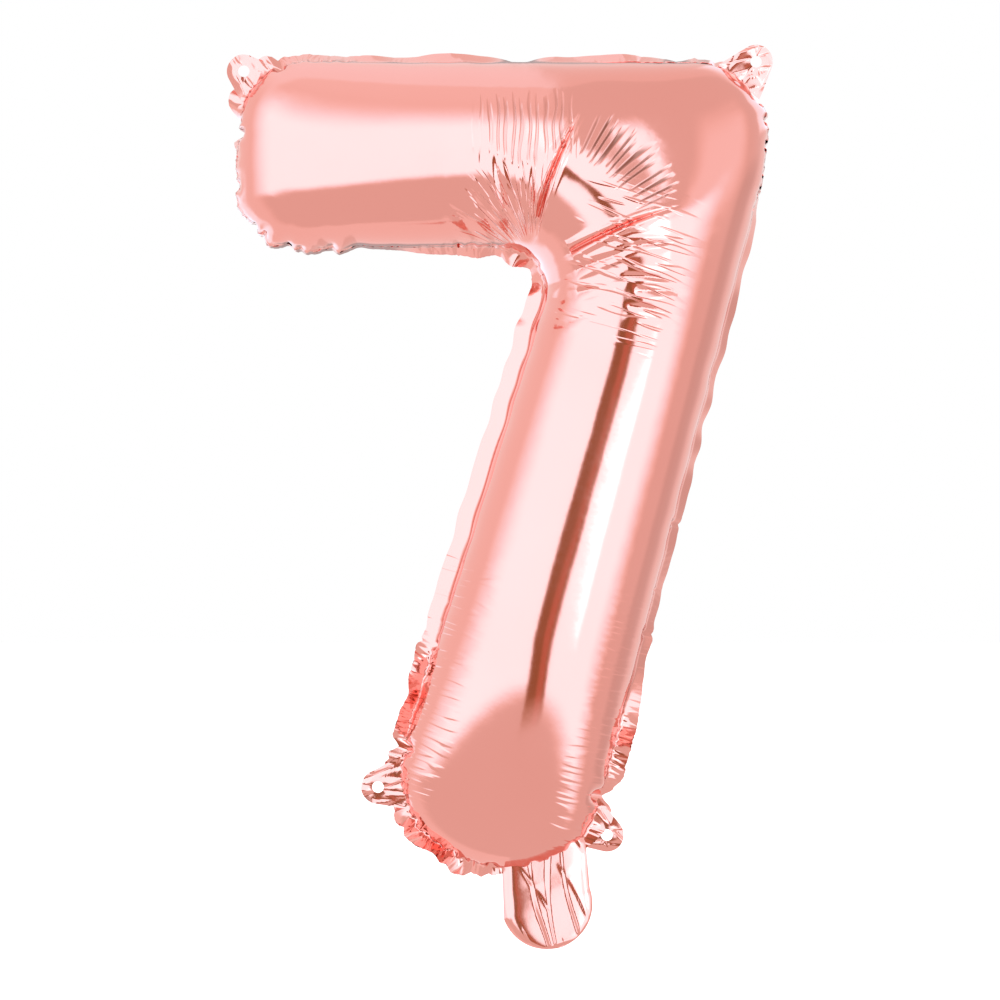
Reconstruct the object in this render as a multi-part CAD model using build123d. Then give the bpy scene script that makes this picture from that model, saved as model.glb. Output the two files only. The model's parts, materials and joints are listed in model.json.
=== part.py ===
from build123d import *
import math
import os

# Air-filled foil balloon in the shape of the numeral seven, hung by its two top eyelets.
# Millimetres, +Z up. The sealed seam lies in the plane Y = 0 and the front faces -Y.
# The origin is midway between the two top eyelets, where a hanging string would run.
# The real film is about 0.045 mm thick: every film here is a thicker solid that stands for it.

# Films and seals, measured from the seam plane outwards.
COAT_HALF = 0.1            # half of the release coating, between the two valve films
VALVE_FILM = 0.4           # one valve film
SEAL_HALF = COAT_HALF + VALVE_FILM    # half of the heat seal that joins the two panels
FILM = 0.4                 # one foil panel
STACK_HALF = SEAL_HALF + FILM
FLANGE = 7.5               # flat sealed margin outside the inflated body
SEAL_FROM = 0.5            # the seal starts this far outside the inflated body
SEAL_TO = 5.5              # and ends here

# Inflated outline of the seven: corner points (x, z), clockwise from the top left, and their radii.
BAR_TOP = 1.5
BAR_BOTTOM = -77.0
BAR_LEFT = -111.0
BAR_RIGHT = 113.5
CORNERS = [
    (BAR_LEFT, BAR_TOP),
    (BAR_RIGHT, BAR_TOP),
    (BAR_RIGHT, -42.0),
    (32.8, -351.7),
    (-52.6, -327.6),
    (25.5, BAR_BOTTOM),
    (BAR_LEFT, BAR_BOTTOM),
]
RADII = [28.0, 28.0, 40.0, 40.0, 40.0, 18.0, 26.0]
INNER_CORNER = 5           # the one concave corner, under the bar
SHARPEST = 1.5             # smallest radius left when a corner is drawn further in

# Bulge of one panel: an ellipse quarter from the seam to the crest, in flat steps.
BULGE_RUN = 38.0
BULGE_RISE = 40.0
BULGE_STEPS = [0, 15, 30, 45, 60, 72, 80]    # degrees round the quarter

# Hanging tabs: the eyelet centre of each, and the corner of the outline that it grows from.
EYELET_R = 2.5
TAB_END_R = 7.2
TAB_ROOT = 5.4             # from the eyelet to the tab's fold
TAB_HALF_WIDTH = 9.5       # at the fold
TABS = {
    "top_left": ((-109.5, -2.0), 0),
    "top_right": ((109.5, 2.0), 1),
    "bottom_right": ((45.7, -328.5), 3),
    "bottom_left": ((-52.1, -308.0), 4),
}

# Filling neck, on the rounded bottom right corner.
NECK_CORNER = 3
NECK_FOLD_OUT = 3.0        # from the inflated outline to the neck's fold
NECK_TURN = 20.0           # degrees from straight down to square across the fold
NECK_HALF_WIDTH = 19.0
NECK_END = (-4.3, 14.7)    # centre of the round end, along and across the fold
NECK_END_R = 19.5
NECK_SEAL = 3.5            # width of the seal down each side of the neck

# Self-closing valve: two soft films from the neck's mouth up into the body.
VALVE_LEAN = 8.0           # degrees from straight up, towards -X
VALVE_LENGTH = 92.0
VALVE_HALF_WIDTH = 13.0
VALVE_TIP_HALF_WIDTH = 10.0
VALVE_SEAL = 2.5
INLET_LENGTH = 27.6        # part of the valve that lies in the neck
INLET_TIP_HALF_WIDTH = 11.0
COAT_HALF_WIDTH = 7.0
COAT_LENGTH = 11.0

# Room for the folds.
FOLD_BACK = 1.4            # the panel's edge stops this far before a fold
FOLD_GAP = 0.4             # and the folding piece starts this far after it
SIDE_GAP = 0.8
CUT_REACH = 30.0


def corner_directions(points, i):
    """Unit vectors from corner i to the corner before it and to the corner after it."""
    here = Vector(*points[i])
    before = Vector(*points[i - 1]) - here
    after = Vector(*points[(i + 1) % len(points)]) - here
    return before.normalized(), after.normalized()


def offset_corners(inset):
    """Corner points of the outline with every side moved inwards by inset."""
    moved = []
    for i, corner in enumerate(CORNERS):
        to_before, to_after = corner_directions(CORNERS, i)
        half = math.radians(to_before.get_angle(to_after)) / 2
        inwards = (to_before + to_after).normalized() * (inset / math.sin(half))
        if i == INNER_CORNER:
            inwards = -inwards
        moved.append((corner[0] + inwards.X, corner[1] + inwards.Y))
    return moved


def corner_radius(i, inset):
    """Radius of corner i when the outline is drawn inwards by inset."""
    grow = inset if i == INNER_CORNER else -inset
    return max(RADII[i] + grow, SHARPEST)


def outline(inset, y):
    """Face of the seven in the plane Y = y, drawn inwards from the inflated outline by inset."""
    points = offset_corners(inset)
    arcs = []
    for i, point in enumerate(points):
        to_before, to_after = corner_directions(points, i)
        half = math.radians(to_before.get_angle(to_after)) / 2
        radius = corner_radius(i, inset)
        here = Vector(*point)
        centre = here + (to_before + to_after).normalized() * (radius / math.sin(half))
        reach = radius / math.tan(half)
        middle = centre + (here - centre).normalized() * radius
        arcs.append([here + to_before * reach, middle, here + to_after * reach])
    in_space = [[Vector(p.X, y, p.Y) for p in arc] for arc in arcs]
    edges = []
    for i, arc in enumerate(in_space):
        following = in_space[(i + 1) % len(in_space)]
        edges.append(Edge.make_three_point_arc(*arc))
        edges.append(Edge.make_line(arc[2], following[0]))
    return Face(Wire(edges))


def slab(face, y_from, y_to):
    """A flat face in the plane Y = y_from, thickened to Y = y_to."""
    return Solid.extrude(face, Vector(0, y_to - y_from, 0))


def plate(points, y_from, y_to):
    """A flat plate with straight sides through the (x, z) points."""
    wire = Wire.make_polygon([Vector(x, y_from, z) for x, z in points], close=True)
    return slab(Face(wire), y_from, y_to)


def bulge(side, thinner):
    """Solid under one panel's bulge, on the side -1 or +1, thinner by the film if asked."""
    run = BULGE_RUN - thinner
    rise = BULGE_RISE - thinner
    sections = []
    for step in BULGE_STEPS:
        turn = math.radians(step)
        inset = thinner + run * (1 - math.cos(turn))
        sections.append(outline(inset, side * (SEAL_HALF + rise * math.sin(turn))))
    return loft(sections, ruled=True)


def fold_frame(origin, outwards):
    """Plane with x along a fold, y outwards from it, both in the seam plane."""
    along = Vector(-outwards[1], 0, outwards[0])
    return Plane(origin=(origin[0], 0, origin[1]), x_dir=along, z_dir=along.cross(
        Vector(outwards[0], 0, outwards[1])))


def in_frame(frame, points):
    """(x, z) of points given as (along, out) in a fold's frame."""
    placed = [frame.from_local_coords(Vector(along, out, 0)) for along, out in points]
    return [(p.X, p.Z) for p in placed]


def arc_centre(i):
    """Centre of the rounded corner i of the inflated outline."""
    to_before, to_after = corner_directions(CORNERS, i)
    half = math.radians(to_before.get_angle(to_after)) / 2
    middle = (to_before + to_after).normalized() * (RADII[i] / math.sin(half))
    return CORNERS[i][0] + middle.X, CORNERS[i][1] + middle.Y


def tab_frame(name):
    """Frame at a tab's eyelet, with its second direction outwards from the body."""
    eyelet, corner = TABS[name]
    centre = arc_centre(corner)
    reach = math.hypot(eyelet[0] - centre[0], eyelet[1] - centre[1])
    outwards = ((eyelet[0] - centre[0]) / reach, (eyelet[1] - centre[1]) / reach)
    return fold_frame(eyelet, outwards)


def neck_frame():
    """Frame at the middle of the neck's fold, with its second direction down the neck."""
    turn = math.radians(NECK_TURN)
    outwards = (math.sin(turn), -math.cos(turn))
    centre = arc_centre(NECK_CORNER)
    reach = RADII[NECK_CORNER] + NECK_FOLD_OUT
    origin = (centre[0] + outwards[0] * reach, centre[1] + outwards[1] * reach)
    return fold_frame(origin, outwards)


def fold_cut(frame, half_width, fold):
    """Block that clears the flange from a fold outwards, over the width of the folding piece."""
    near = fold - FOLD_BACK
    corners = [(-half_width, near), (half_width, near), (half_width, CUT_REACH), (-half_width, CUT_REACH)]
    return plate(in_frame(frame, corners), -2 * STACK_HALF, 2 * STACK_HALF)


def fold_cuts():
    """Blocks that clear the flange for the four tabs and the neck."""
    cuts = [fold_cut(tab_frame(name), TAB_HALF_WIDTH + SIDE_GAP, -TAB_ROOT) for name in TABS]
    return cuts + [fold_cut(neck_frame(), NECK_HALF_WIDTH + SIDE_GAP, 0)]


def panel(side):
    """One foil panel: a bulged shell with a flat flange round it, open towards the seam plane."""
    flange = slab(outline(-FLANGE, side * SEAL_HALF), side * SEAL_HALF, side * STACK_HALF)
    shell = flange + bulge(side, 0) - bulge(side, FILM)
    for cut in fold_cuts():
        shell = shell - cut
    # Two cuts that meet can leave a loose crumb of flange between them.
    return max(shell.solids(), key=lambda solid: solid.volume)


def perimeter_weld():
    """Heat seal between the panels, all round the body, open only where the valve passes."""
    ring = slab(outline(-SEAL_TO, -SEAL_HALF), -SEAL_HALF, SEAL_HALF)
    ring = ring - slab(outline(-SEAL_FROM, -SEAL_HALF), -SEAL_HALF, SEAL_HALF)
    for cut in fold_cuts():
        ring = ring - cut
    valve_way = valve_points(VALVE_HALF_WIDTH + SIDE_GAP, VALVE_TIP_HALF_WIDTH + SIDE_GAP)
    return ring - plate(valve_way, -SEAL_HALF, SEAL_HALF)


def valve_points(half_width, tip_half_width, from_side=None):
    """Corners (x, z) of a strip along the valve inside the body, whole or one of its edges."""
    frame = neck_frame()
    lean = math.radians(VALVE_LEAN)
    upwards = (-math.sin(lean), math.cos(lean))
    across = (math.cos(lean), math.sin(lean))
    base = frame.from_local_coords(Vector(0, -FOLD_BACK, 0))
    tip = (base.X + upwards[0] * VALVE_LENGTH, base.Z + upwards[1] * VALVE_LENGTH)

    def at_tip(offset):
        return tip[0] + across[0] * offset, tip[1] + across[1] * offset

    if from_side is None:
        foot = in_frame(frame, [(half_width, -FOLD_BACK), (-half_width, -FOLD_BACK)])
        left, right = sorted(foot)
        return [left, right, at_tip(tip_half_width), at_tip(-tip_half_width)]
    foot = in_frame(frame, [(from_side * half_width, -FOLD_BACK),
                            (from_side * (half_width - VALVE_SEAL), -FOLD_BACK)])
    hand = 1 if foot[0][0] > foot[1][0] else -1
    return [foot[0], foot[1], at_tip(hand * (tip_half_width - VALVE_SEAL)), at_tip(hand * tip_half_width)]


def valve_film(side):
    """One valve film inside the body, from the neck's fold to the valve's free lips."""
    points = valve_points(VALVE_HALF_WIDTH, VALVE_TIP_HALF_WIDTH)
    return plate(points, side * COAT_HALF, side * SEAL_HALF)


def valve_side_welds():
    """The two seams that join the valve films along their long edges."""
    edges = [valve_points(VALVE_HALF_WIDTH, VALVE_TIP_HALF_WIDTH, side) for side in (-1, 1)]
    return Compound([plate(points, -COAT_HALF, COAT_HALF) for points in edges])


def valve_release_coating():
    """Coated patch that keeps the valve open where the perimeter seal crosses it."""
    far = -FOLD_BACK - COAT_LENGTH
    corners = [(-COAT_HALF_WIDTH, -FOLD_BACK), (COAT_HALF_WIDTH, -FOLD_BACK),
               (COAT_HALF_WIDTH, far), (-COAT_HALF_WIDTH, far)]
    return plate(in_frame(neck_frame(), corners), -COAT_HALF, COAT_HALF)


def neck_sides():
    """(along, out) ends of the neck's two straight edges, left then right."""
    middle, out = NECK_END
    return [((hand * NECK_HALF_WIDTH, FOLD_GAP), (middle + hand * NECK_END_R, out)) for hand in (-1, 1)]


def neck_film(side):
    """One foil film of the filling neck, with its round end."""
    (root_a, end_a), (root_b, end_b) = neck_sides()
    bottom = (NECK_END[0], NECK_END[1] + NECK_END_R)
    places = in_frame(neck_frame(), [root_a, end_a, bottom, end_b, root_b])
    y = side * SEAL_HALF
    p = [Vector(x, y, z) for x, z in places]
    edges = [Edge.make_line(p[0], p[1]), Edge.make_three_point_arc(p[1], p[2], p[3]),
             Edge.make_line(p[3], p[4]), Edge.make_line(p[4], p[0])]
    return slab(Face(Wire(edges)), y, side * STACK_HALF)


def neck_side_welds():
    """The two seals that join the neck films down their sides."""
    strips = []
    for hand, (root, end) in zip((-1, 1), neck_sides()):
        inner_end = (end[0] - hand * NECK_SEAL, end[1])
        inner_root = (root[0] - hand * NECK_SEAL, root[1])
        points = in_frame(neck_frame(), [root, end, inner_end, inner_root])
        strips.append(plate(points, -SEAL_HALF, SEAL_HALF))
    return Compound(strips)


def valve_inlet_film(side):
    """One valve film inside the neck, where a straw is pushed in."""
    shift = NECK_END[0] / NECK_END[1] * INLET_LENGTH
    corners = [(-VALVE_HALF_WIDTH, FOLD_GAP), (VALVE_HALF_WIDTH, FOLD_GAP),
               (shift + INLET_TIP_HALF_WIDTH, INLET_LENGTH), (shift - INLET_TIP_HALF_WIDTH, INLET_LENGTH)]
    return plate(in_frame(neck_frame(), corners), side * COAT_HALF, side * SEAL_HALF)


def tab_layer(name, y_from, y_to):
    """One layer of a hanging tab: a rounded tongue with the punched eyelet."""
    frame = tab_frame(name)
    root = FOLD_GAP - TAB_ROOT
    reach = math.hypot(TAB_HALF_WIDTH, root)
    tangent = math.atan2(root, TAB_HALF_WIDTH) + math.acos(TAB_END_R / reach)
    side = (TAB_END_R * math.cos(tangent), TAB_END_R * math.sin(tangent))
    places = in_frame(frame, [(TAB_HALF_WIDTH, root), side, (0, TAB_END_R),
                              (-side[0], side[1]), (-TAB_HALF_WIDTH, root)])
    p = [Vector(x, y_from, z) for x, z in places]
    edges = [Edge.make_line(p[0], p[1]), Edge.make_three_point_arc(p[1], p[2], p[3]),
             Edge.make_line(p[3], p[4]), Edge.make_line(p[4], p[0])]
    tongue = slab(Face(Wire(edges)), y_from, y_to)
    eyelet = TABS[name][0]
    length = abs(y_to - y_from) + 2
    middle = (eyelet[0], (y_from + y_to) / 2, eyelet[1])
    hole = Pos(*middle) * Rot(90, 0, 0) * Cylinder(EYELET_R, length)
    return tongue - hole


def build():
    """Every node of the balloon, by name."""
    nodes = {
        "front_panel": panel(-1),
        "back_panel": panel(1),
        "perimeter_weld": perimeter_weld(),
        "valve_front_film": valve_film(-1),
        "valve_back_film": valve_film(1),
        "valve_side_welds": valve_side_welds(),
        "valve_release_coating": valve_release_coating(),
        "neck_front_film": neck_film(-1),
        "neck_back_film": neck_film(1),
        "neck_side_welds": neck_side_welds(),
        "valve_inlet_front_film": valve_inlet_film(-1),
        "valve_inlet_back_film": valve_inlet_film(1),
    }
    for name in TABS:
        nodes[f"hang_tab_{name}_front_film"] = tab_layer(name, -SEAL_HALF, -STACK_HALF)
        nodes[f"hang_tab_{name}_back_film"] = tab_layer(name, SEAL_HALF, STACK_HALF)
        nodes[f"hang_tab_{name}_weld"] = tab_layer(name, -SEAL_HALF, SEAL_HALF)
    return nodes


def print_folds():
    """Print where each fold line runs, for the joints."""
    folds = {name: (tab_frame(name), -TAB_ROOT) for name in TABS}
    folds["neck"] = (neck_frame(), 0)
    for name, (frame, out) in folds.items():
        place = frame.from_local_coords(Vector(0, out, 0))
        print(f"{name} fold at ({place.X:.2f}, 0, {place.Z:.2f}) mm,"
              f" along ({frame.x_dir.X:.4f}, 0, {frame.x_dir.Z:.4f})")


os.makedirs("parts", exist_ok=True)
for node, shape in build().items():
    export_step(shape, f"parts/{node}.step")
print_folds()
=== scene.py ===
"""Foil number seven: two film panels sealed at the edge, four hanging tabs and a filling neck."""

import json
import logging
import math
from dataclasses import dataclass, field
from enum import Enum

import bpy
import numpy as np
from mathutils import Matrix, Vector
from mathutils.geometry import delaunay_2d_cdt

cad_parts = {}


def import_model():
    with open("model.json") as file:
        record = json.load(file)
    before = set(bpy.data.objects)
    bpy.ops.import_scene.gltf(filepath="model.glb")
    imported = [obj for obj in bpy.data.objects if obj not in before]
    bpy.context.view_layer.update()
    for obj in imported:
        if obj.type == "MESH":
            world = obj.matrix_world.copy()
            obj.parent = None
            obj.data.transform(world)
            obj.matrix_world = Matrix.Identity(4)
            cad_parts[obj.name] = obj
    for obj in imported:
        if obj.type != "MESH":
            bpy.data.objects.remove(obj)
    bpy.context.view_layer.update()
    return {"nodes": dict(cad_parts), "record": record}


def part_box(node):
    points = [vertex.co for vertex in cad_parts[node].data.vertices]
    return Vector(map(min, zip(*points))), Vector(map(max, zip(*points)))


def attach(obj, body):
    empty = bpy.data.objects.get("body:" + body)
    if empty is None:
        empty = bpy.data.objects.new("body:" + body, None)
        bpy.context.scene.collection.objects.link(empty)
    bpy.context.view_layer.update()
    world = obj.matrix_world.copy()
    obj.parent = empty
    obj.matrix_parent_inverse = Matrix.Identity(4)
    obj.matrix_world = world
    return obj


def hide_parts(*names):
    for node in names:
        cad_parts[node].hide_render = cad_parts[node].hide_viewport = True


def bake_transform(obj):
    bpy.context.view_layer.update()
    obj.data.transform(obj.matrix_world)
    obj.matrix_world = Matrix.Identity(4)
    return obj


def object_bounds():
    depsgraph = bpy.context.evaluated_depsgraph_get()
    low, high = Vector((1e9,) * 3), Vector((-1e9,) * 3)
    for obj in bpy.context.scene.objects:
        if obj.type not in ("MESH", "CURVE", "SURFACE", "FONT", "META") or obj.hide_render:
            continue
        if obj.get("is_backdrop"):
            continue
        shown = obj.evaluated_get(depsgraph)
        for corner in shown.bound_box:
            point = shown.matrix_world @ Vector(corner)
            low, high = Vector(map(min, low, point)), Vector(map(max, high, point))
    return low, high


MM = 0.001

# Places and a direction as (x, z) in the seam plane, the places in millimetres.
STEM_RUN = (0.29, 0.957)
INNER_FOLD_MEET = (14.0, -83.0)
NECK_ROOT = (14, -342)
NECK_FOLD = (18, -340)

log = logging.getLogger("balloon")

Colour = tuple[float, float, float, float]
Place = tuple[float, float]


class Side(Enum):
    """A side of the balloon, with the sign that y has on it."""

    FRONT = -1.0
    BACK = 1.0


# ---------------------------------------------------------------- outlines


@dataclass(frozen=True)
class Corner:
    """One corner of an outline in the seam plane, with the radius that rounds it."""

    x: float
    z: float
    radius: float
    inner: bool = False


@dataclass(frozen=True)
class Arc:
    """The rounded part of one corner."""

    centre: np.ndarray
    radius: float
    start: float
    sweep: float

    def at(self, share: float) -> np.ndarray:
        """The point a share of the way along the arc."""
        angle = self.start + self.sweep * share
        return self.centre + self.radius * np.array([math.cos(angle), math.sin(angle)])


class Outline:
    """A closed outline of straight runs and corner arcs, listed clockwise seen from the front."""

    def __init__(self, corners: list[Corner]) -> None:
        """Keeps the corners.

        Args:
            corners: the corners in order, clockwise with z up and x to the right.
        """
        self.corners = corners

    def grown(self, by: float) -> "Outline":
        """The outline moved outwards.

        Args:
            by: distance in metres, negative to go inwards.

        Returns:
            A new outline with the same corners, arcs and order.
        """
        points = [np.array([c.x, c.z]) for c in self.corners]
        lines = []
        for here, after in zip(points, points[1:] + points[:1]):
            along = (after - here) / np.linalg.norm(after - here)
            lines.append((here + by * np.array([-along[1], along[0]]), along))
        moved = []
        for corner, (p, u), (q, v) in zip(self.corners, lines[-1:] + lines[:-1], lines):
            reach = np.linalg.solve(np.array([u, -v]).T, q - p)[0]
            x, z = p + reach * u
            radius = corner.radius - by if corner.inner else corner.radius + by
            moved.append(Corner(x, z, max(radius, 1.5 * MM), corner.inner))
        return Outline(moved)

    def arcs(self) -> list[Arc]:
        """The rounded parts of the outline.

        Returns:
            One arc for each corner, in the same order.
        """
        points = [np.array([c.x, c.z]) for c in self.corners]
        arcs = []
        befores, afters = points[-1:] + points[:-1], points[1:] + points[:1]
        for before, here, after, corner in zip(befores, points, afters, self.corners):
            u = (before - here) / np.linalg.norm(before - here)
            v = (after - here) / np.linalg.norm(after - here)
            half = math.acos(float(np.clip(u @ v, -1, 1))) / 2
            middle = (u + v) / np.linalg.norm(u + v)
            centre = here + middle * corner.radius / math.sin(half)
            start, end = (here + w * corner.radius / math.tan(half) - centre for w in (u, v))
            a, b = math.atan2(start[1], start[0]), math.atan2(end[1], end[0])
            arcs.append(Arc(centre, corner.radius, a, (b - a + math.pi) % (2 * math.pi) - math.pi))
        return arcs

    def plan(self, step: float) -> list[tuple[int, int]]:
        """How many steps each arc and the run after it take.

        Args:
            step: wanted spacing in metres.

        Returns:
            One pair of counts for each corner.
        """
        arcs = self.arcs()
        counts = []
        for arc, after in zip(arcs, arcs[1:] + arcs[:1]):
            run = np.linalg.norm(after.at(0) - arc.at(1))
            counts.append((max(4, round(abs(arc.sweep) * arc.radius / step)), max(1, round(run / step))))
        return counts

    def points(self, plan: list[tuple[int, int]]) -> np.ndarray:
        """Points round the outline, the same number for each outline that shares a plan.

        Args:
            plan: the counts from plan().

        Returns:
            An array of (x, z), closed without a repeated point.
        """
        arcs = self.arcs()
        places = []
        for arc, after, (turn, run) in zip(arcs, arcs[1:] + arcs[:1], plan):
            places += [arc.at(k / turn) for k in range(turn)]
            start, end = arc.at(1), after.at(0)
            places += [start + (end - start) * k / run for k in range(run)]
        return np.array(places)


def inside(loop: np.ndarray, points: np.ndarray) -> np.ndarray:
    """Which points lie inside a closed loop.

    Args:
        loop: (n, 2) corners.
        points: (m, 2) places to test.

    Returns:
        A mask with one entry for each point.
    """
    x, z = points[:, 0], points[:, 1]
    hit = np.zeros(len(points), bool)
    for (x1, z1), (x2, z2) in zip(np.roll(loop, 1, axis=0), loop):
        crosses = (z1 > z) != (z2 > z)
        if crosses.any():
            hit ^= crosses & (x < (x2 - x1) * (z - z1) / ((z2 - z1) or 1e-12) + x1)
    return hit


def distance(loop: np.ndarray, points: np.ndarray) -> np.ndarray:
    """Distance from each point to a closed loop.

    Args:
        loop: (n, 2) corners.
        points: (m, 2) places.

    Returns:
        Distances in metres.
    """
    best = np.full(len(points), 1e9)
    for a, b in zip(np.roll(loop, 1, axis=0), loop):
        d = b - a
        t = np.clip(((points - a) @ d) / (d @ d), 0, 1)
        best = np.minimum(best, np.linalg.norm(points - a - t[:, None] * d, axis=1))
    return best


def strips(rows: int, columns: int, closed: bool) -> list[tuple[int, int, int, int]]:
    """Faces between neighbouring rows of points.

    Args:
        rows: how many rows there are.
        columns: how many points each row has.
        closed: whether each row joins up into a ring.

    Returns:
        Four corners for each face.
    """
    faces = []
    for row in range(rows - 1):
        here, above = row * columns, (row + 1) * columns
        for k in range(columns if closed else columns - 1):
            after = (k + 1) % columns
            faces.append((here + k, here + after, above + after, above + k))
    return faces


def filled(loop: np.ndarray, grid: np.ndarray) -> np.ndarray:
    """Triangles that fill a loop through the places inside it.

    Args:
        loop: (n, 2) corners.
        grid: (m, 2) places inside the loop.

    Returns:
        Three corners for each triangle, numbered through the loop and then the grid.
    """
    places = np.vstack([loop, grid])
    rim = [(k, (k + 1) % len(loop)) for k in range(len(loop))]
    found = delaunay_2d_cdt([Vector(p) for p in places], rim, [], 1, 1e-7)
    given = np.array([found[3][k][0] if found[3][k] else k for k in range(len(found[0]))])
    triangles = given[np.array(found[2])]
    return triangles[inside(loop, places[triangles].mean(1))]


def smoothstep(low: float, high: float, value: np.ndarray) -> np.ndarray:
    """0 below low, 1 above high and smooth between them."""
    t = np.clip((value - low) / (high - low), 0, 1)
    return t * t * (3 - 2 * t)


def wander(along: np.ndarray, seed: int, length: float, total: float) -> np.ndarray:
    """A smooth closed random curve, about -1 to 1.

    Args:
        along: places along the loop, in metres.
        seed: picks the curve.
        length: the shortest wavelength, in metres.
        total: length of the whole loop, in metres.

    Returns:
        One value for each place.
    """
    rng = np.random.default_rng(seed)
    most = max(3, int(total / length))
    result = np.zeros(len(along))
    for waves in range(max(1, most // 5), most + 1):
        result += rng.normal() * np.sin(2 * math.pi * waves * along / total + rng.uniform(0, 2 * math.pi))
    peak = 1.6
    return result / math.sqrt(max(1, most - most // 5) / 2) / peak


# ---------------------------------------------------------------- film


def store(mesh: bpy.types.Mesh, label: str, values: np.ndarray) -> None:
    """Stores one number on each point of a mesh."""
    mesh.attributes.new(label, "FLOAT", "POINT").data.foreach_set("value", values.astype(np.float32))


@dataclass
class Film:
    """A piece of film as points and faces, with the seam coordinates of each point."""

    points: np.ndarray
    faces: list[tuple[int, ...]]
    along: np.ndarray
    reach: np.ndarray
    gather: np.ndarray | None = None

    def make(self, name: str) -> bpy.types.Object:
        """Makes an object with the seam coordinates stored on its points.

        Args:
            name: the object's name.

        Returns:
            The new object, linked to the scene.
        """
        mesh = bpy.data.meshes.new(name)
        mesh.from_pydata(self.points.tolist(), [], self.faces)
        gather = self.reach * 0 if self.gather is None else self.gather
        stored = {"film_along": self.along, "film_reach": self.reach, "film_gather": gather}
        for label, values in stored.items():
            store(mesh, label, values)
        mesh.polygons.foreach_set("use_smooth", [True] * len(mesh.polygons))
        mesh.update()
        piece = bpy.data.objects.new(name, mesh)
        bpy.context.scene.collection.objects.link(piece)
        return piece


def modified(piece: bpy.types.Object, kind: str, **settings: object) -> bpy.types.Object:
    """Applies one modifier to a piece.

    Args:
        piece: the object.
        kind: Blender's modifier type.
        settings: values of the modifier.

    Returns:
        The same object with its new mesh.
    """
    modifier = piece.modifiers.new(kind.lower(), kind)
    for key, value in settings.items():
        setattr(modifier, key, value)
    graph = bpy.context.evaluated_depsgraph_get()
    shaped = piece.evaluated_get(graph)
    mesh = bpy.data.meshes.new_from_object(shaped, preserve_all_data_layers=True, depsgraph=graph)
    old = piece.data
    piece.modifiers.clear()
    piece.data = mesh
    mesh.name = piece.name
    bpy.data.meshes.remove(old)
    return piece


def subdivided(film: Film) -> Film:
    """The film with one round of smooth subdivision.

    Args:
        film: the film. Its place along the seam goes through as a sine and cosine, so that it closes.

    Returns:
        The finer film, with its seam coordinates.
    """
    turn = 2 * math.pi / film.along.max()
    piece = film.make("working_film")
    store(piece.data, "cos", np.cos(film.along * turn))
    store(piece.data, "sin", np.sin(film.along * turn))
    modified(piece, "SUBSURF", levels=1, render_levels=1)
    mesh = piece.data
    count = len(mesh.vertices)
    got = {}
    for label in ("film_reach", "cos", "sin"):
        got[label] = np.empty(count, np.float32)
        mesh.attributes[label].data.foreach_get("value", got[label])
    points = np.empty(count * 3, np.float32)
    mesh.vertices.foreach_get("co", points)
    along = (np.arctan2(got["sin"], got["cos"]) % (2 * math.pi)) / turn
    faces = [tuple(p.vertices) for p in mesh.polygons]
    bpy.data.objects.remove(piece)
    bpy.data.meshes.remove(mesh)
    reach = got["film_reach"].astype(float)
    return Film(points.reshape(-1, 3).astype(float), faces, along.astype(float), reach)


def smoothed(film: Film, rounds: int, low: float, high: float) -> None:
    """Evens out the film away from the seam.

    Args:
        film: the film, changed in place.
        rounds: how many rounds of averaging.
        low: reach below which nothing moves.
        high: reach above which points move freely.
    """
    sides = np.array([(f[k], f[(k + 1) % len(f)]) for f in film.faces for k in range(len(f))])
    count = len(film.points)
    shared = np.bincount(sides[:, 0], minlength=count) + np.bincount(sides[:, 1], minlength=count)
    ease = 0.5 * smoothstep(low, high, film.reach)[:, None]
    for _ in range(rounds):
        mean = np.stack([np.bincount(sides[:, 0], film.points[sides[:, 1], k], count)
                         + np.bincount(sides[:, 1], film.points[sides[:, 0], k], count) for k in range(3)], 1)
        film.points += ease * (mean / shared[:, None] - film.points)


def inflated_height(points: np.ndarray, triangles: np.ndarray, held: np.ndarray) -> np.ndarray:
    """Height of a film blown up over an outline: a strip of any width comes out as a half circle.

    Args:
        points: (n, 2) places in the seam plane.
        triangles: (m, 3) corners.
        held: mask of the points on the seam.

    Returns:
        Height at each point, in metres.
    """
    count = len(points)
    weights: list[np.ndarray] = []
    ends: list[np.ndarray] = []
    area = np.zeros(count)
    for k in range(3):
        i, j, o = triangles[:, k], triangles[:, (k + 1) % 3], triangles[:, (k + 2) % 3]
        u, v = points[i] - points[o], points[j] - points[o]
        cross = np.abs(u[:, 0] * v[:, 1] - u[:, 1] * v[:, 0]) + 1e-15
        weights.append(np.clip((u * v).sum(1) / cross / 2, 1e-4, 40))
        ends.append(np.stack([i, j], 1))
        area += np.bincount(i, cross / 6, count)
    w, e = np.concatenate(weights), np.concatenate(ends)
    free = (~held).astype(float)
    spread = np.bincount(e[:, 0], w, count) + np.bincount(e[:, 1], w, count) + 1e-9

    def stiff(x: np.ndarray) -> np.ndarray:
        """The stiffness matrix times x."""
        shared = np.bincount(e[:, 0], w * x[e[:, 1]], count) + np.bincount(e[:, 1], w * x[e[:, 0]], count)
        return (spread * x - shared) * free

    most_rounds, settled = 900, 1e-26
    x = np.zeros(count)
    rest = area * free
    eased = rest / spread
    way = eased.copy()
    error = rest @ eased
    for _ in range(most_rounds):
        pushed = stiff(way)
        step = error / (way @ pushed)
        x += step * way
        rest -= step * pushed
        eased = rest / spread
        left = rest @ eased
        if left < settled:
            break
        way = eased + way * left / error
        error = left
    return np.sqrt(np.clip(2 * x, 0, None))


@dataclass(frozen=True)
class Pucker:
    """A gather that starts at the seam and fades into the inflated film."""

    at: float
    depth: float
    reach: float
    width: float


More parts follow.
